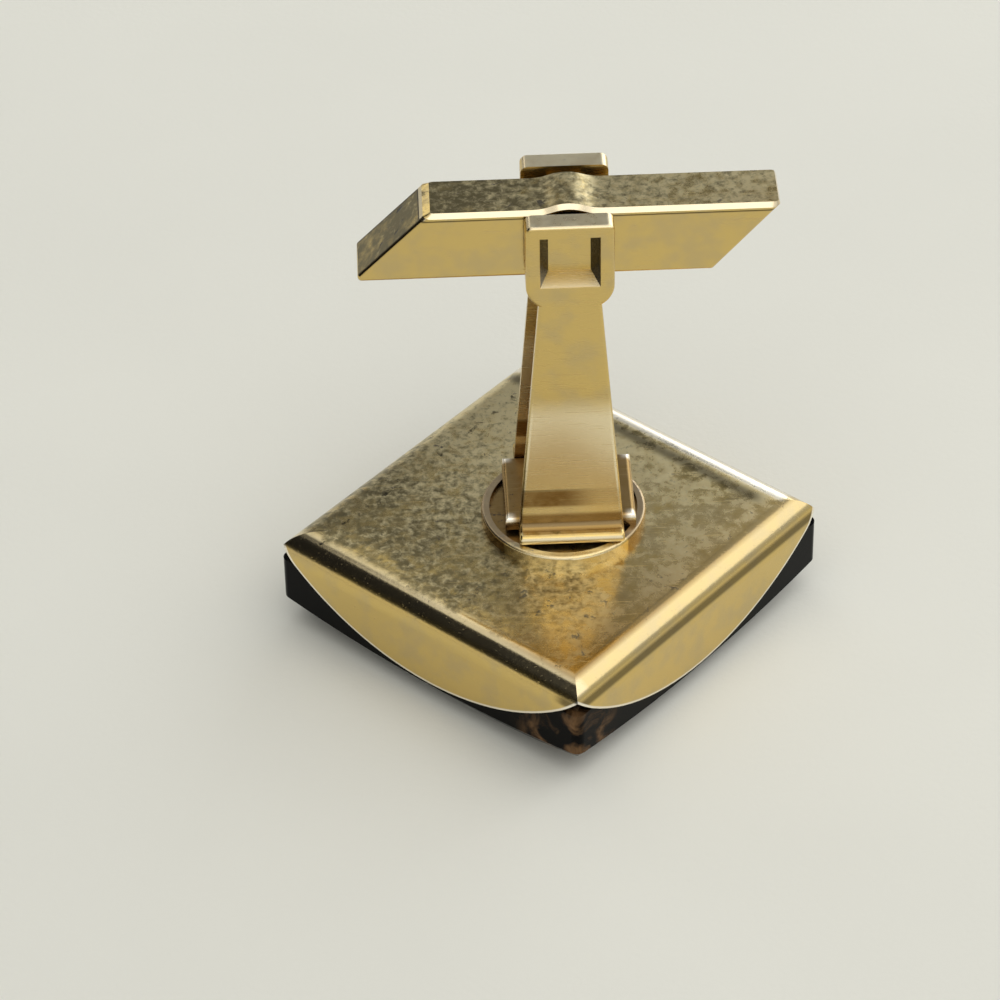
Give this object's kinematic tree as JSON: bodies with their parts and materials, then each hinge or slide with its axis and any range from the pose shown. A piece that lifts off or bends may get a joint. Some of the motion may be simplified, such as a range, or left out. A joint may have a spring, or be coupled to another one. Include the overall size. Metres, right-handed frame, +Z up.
{
  "type": "cufflink",
  "caption": "Cufflink with a domed square stone in a folded metal setting, a post of flat tapering legs and a hollow slanted bar that swivels between them.",
  "frame": {"origin": "middle of the flat on the stone's domed face, on the surface that the cufflink lies on", "axes": "+Z up out of the back along the post, X along the bar, Y along the swivel axis from the front leg to the rear leg"},
  "size_m": [0.026, 0.026, 0.0243],
  "materials": {
    "gilt_back": "gilded, worn and tarnished",
    "gilt_post": "gilded, polished",
    "gilt_bar": "gilded, tarnished on top",
    "stone": "polished",
    "cement": "matt",
    "spring": "plain"
  },
  "bodies": {
    "link": {"setting_tray": "gilt_back", "stone": "stone", "stone_cement": "cement", "base_cup": "gilt_post", "leg_spacer": "gilt_post", "front_leg": "gilt_post", "rear_leg": "gilt_post"},
    "toggle": {"toggle_box": "gilt_bar", "toggle_lid": "gilt_bar", "leaf_spring": "spring"}
  },
  "joints": [
    {"name": "toggle_swivel", "type": "hinge", "parent": "link", "child": "toggle", "pos_m": [0.00094, 0.00067, 0.02223], "axis": [0, 1, 0], "continuous": true, "deforming": ["leaf_spring"]}
  ]
}
